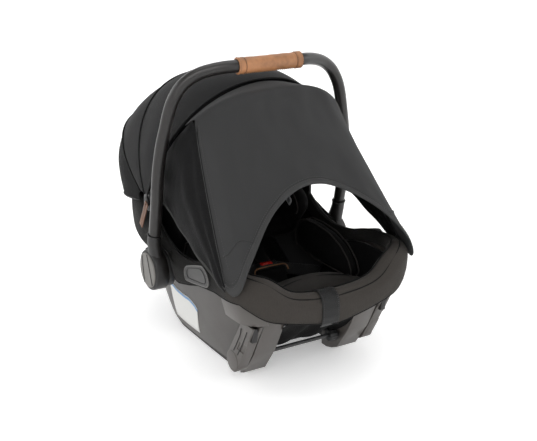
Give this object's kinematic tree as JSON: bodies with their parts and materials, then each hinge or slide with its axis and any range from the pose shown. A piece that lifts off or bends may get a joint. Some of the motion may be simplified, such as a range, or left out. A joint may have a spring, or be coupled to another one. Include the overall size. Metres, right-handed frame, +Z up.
{
  "type": "infant car seat",
  "caption": "Rearward infant car seat with an arched carry handle, folding hooded canopy with a front drape, padded seat and harness, and fold-out latch arms under the foot end.",
  "frame": {"origin": "middle of the overall footprint from side to side, on the floor plane under the rocker rails, 0.205 m behind the latch arms' shaft", "axes": "+Z up, +Y towards the head end, -Y towards the foot end and the front drape, +X to the occupant's left-hand side seen from the foot end as the right"},
  "size_m": [0.4694, 0.6729, 0.5972],
  "materials": {
    "shell_plastic": "fine satin grain",
    "arm_plastic": "smooth satin",
    "black_plastic": "fine matte grain",
    "cap_plastic": "smooth satin",
    "foam": "moulded bead foam",
    "steel": "bright plated",
    "handle_metal": "satin gunmetal coat",
    "bow_wire": "smooth dark coat",
    "leather": "tan grain, stitched",
    "canopy_cloth": "close plain weave",
    "mesh_cloth": "open knitted mesh",
    "cover_cloth": "melange stretch knit",
    "seat_cloth": "soft quilted knit",
    "webbing": "ribbed woven strap",
    "red_plastic": "gloss",
    "guide_plastic": "satin",
    "label_film": "smooth printed film"
  },
  "bodies": {
    "shell": {"outer_shell": "shell_plastic", "seat_tub": "black_plastic", "foam_liner": "foam", "base_plate": "black_plastic", "rocker_rail_l": "black_plastic", "rocker_rail_r": "black_plastic", "front_leg_l": "shell_plastic", "front_leg_r": "shell_plastic", "dock_bar_front": "steel", "dock_bar_rear": "steel", "rear_lever_bracket": "black_plastic", "hub_flange_l": "black_plastic", "hub_flange_r": "black_plastic", "hub_pin_l": "steel", "hub_pin_r": "steel", "canopy_mount_l": "black_plastic", "canopy_mount_r": "black_plastic", "canopy_bow_rear": "bow_wire", "canopy_back": "canopy_cloth", "pull_tab": "leather", "rim_cover": "cover_cloth", "seat_pad": "seat_cloth", "back_pad": "seat_cloth", "hip_bolster_l": "seat_cloth", "hip_bolster_r": "seat_cloth", "shoulder_strap_l": "webbing", "shoulder_strap_r": "webbing", "shoulder_pad_l": "seat_cloth", "shoulder_pad_r": "seat_cloth", "buckle": "black_plastic", "crotch_pad": "seat_cloth", "adjuster_strap": "webbing", "belt_guide_l": "guide_plastic", "belt_guide_r": "guide_plastic", "side_labels": "label_film"},
    "handle": {"handle_socket_l": "black_plastic", "handle_socket_r": "black_plastic", "hub_cap_l": "cap_plastic", "hub_cap_r": "cap_plastic", "handle_tube": "handle_metal", "leather_grip": "leather"},
    "handle_push_l": {"handle_button_l": "black_plastic"},
    "handle_push_r": {"handle_button_r": "black_plastic"},
    "anchor_arms": {"anchor_arm_l": "arm_plastic", "anchor_arm_r": "arm_plastic", "anchor_jaw_l": "steel", "anchor_jaw_r": "steel", "cross_shaft": "steel"},
    "arm_knob": {"arm_release_knob": "black_plastic"},
    "canopy_mid": {"canopy_bow_mid": "bow_wire", "canopy_gore_rear": "canopy_cloth"},
    "canopy_front": {"canopy_bow_front": "bow_wire", "canopy_gore_front": "canopy_cloth", "canopy_drape": "canopy_cloth", "side_mesh_l": "mesh_cloth", "side_mesh_r": "mesh_cloth"},
    "head_support": {"headrest": "seat_cloth"},
    "buckle_push": {"buckle_button": "red_plastic"},
    "adjuster_push": {"adjuster_button": "black_plastic"},
    "release_lever": {"rear_lever": "black_plastic"}
  },
  "joints": [
    {"name": "handle_turn", "type": "hinge", "parent": "shell", "child": "handle", "pos_m": [0, 0.01, 0.172], "axis": [1, 0, 0], "range_deg": [-95, 55]},
    {"name": "handle_press_l", "type": "slide", "parent": "handle", "child": "handle_push_l", "axis": [0, -0.6143, -0.7891], "range_m": [0, 0.0035], "stiffness_N_per_m": 600, "springref_m": -0.002},
    {"name": "handle_press_r", "type": "slide", "parent": "handle", "child": "handle_push_r", "axis": [0, -0.6143, -0.7891], "range_m": [0, 0.0035], "stiffness_N_per_m": 600, "springref_m": -0.002},
    {"name": "arms_fold_out", "type": "hinge", "parent": "shell", "child": "anchor_arms", "pos_m": [0, -0.205, 0.046], "axis": [1, 0, 0], "range_deg": [0, 60]},
    {"name": "arm_knob_turn", "type": "hinge", "parent": "anchor_arms", "child": "arm_knob", "pos_m": [0, -0.205, 0.046], "axis": [1, 0, 0], "range_deg": [0, 40], "stiffness_Nm_per_rad": 0.2, "springref_deg": -5.73},
    {"name": "canopy_mid_fold", "type": "hinge", "parent": "shell", "child": "canopy_mid", "pos_m": [0, 0.066, 0.296], "axis": [1, 0, 0], "range_deg": [-24.5, 0], "deforming": ["canopy_gore_rear"]},
    {"name": "canopy_front_fold", "type": "hinge", "parent": "canopy_mid", "child": "canopy_front", "pos_m": [0, 0.066, 0.296], "axis": [1, 0, 0], "range_deg": [-45.5, 0], "deforming": ["canopy_gore_front", "canopy_drape", "side_mesh_l", "side_mesh_r"]},
    {"name": "headrest_lift", "type": "slide", "parent": "shell", "child": "head_support", "axis": [0, 0.8192, 0.5736], "range_m": [0, 0.03]},
    {"name": "buckle_press", "type": "slide", "parent": "shell", "child": "buckle_push", "axis": [0, 0, -1], "range_m": [0, 0.004], "stiffness_N_per_m": 500, "springref_m": -0.002},
    {"name": "adjuster_press", "type": "slide", "parent": "shell", "child": "adjuster_push", "axis": [0, -0.766, -0.6428], "range_m": [0, 0.002], "stiffness_N_per_m": 800, "springref_m": -0.002},
    {"name": "lever_pull", "type": "hinge", "parent": "shell", "child": "release_lever", "pos_m": [0, 0.266, 0.196], "axis": [1, 0, 0], "range_deg": [0, 18], "stiffness_Nm_per_rad": 0.6, "springref_deg": -14.32}
  ],
  "couplings": [
    {"joint": "canopy_front_fold", "follows": "canopy_mid_fold", "ratio": 1.8571}
  ]
}
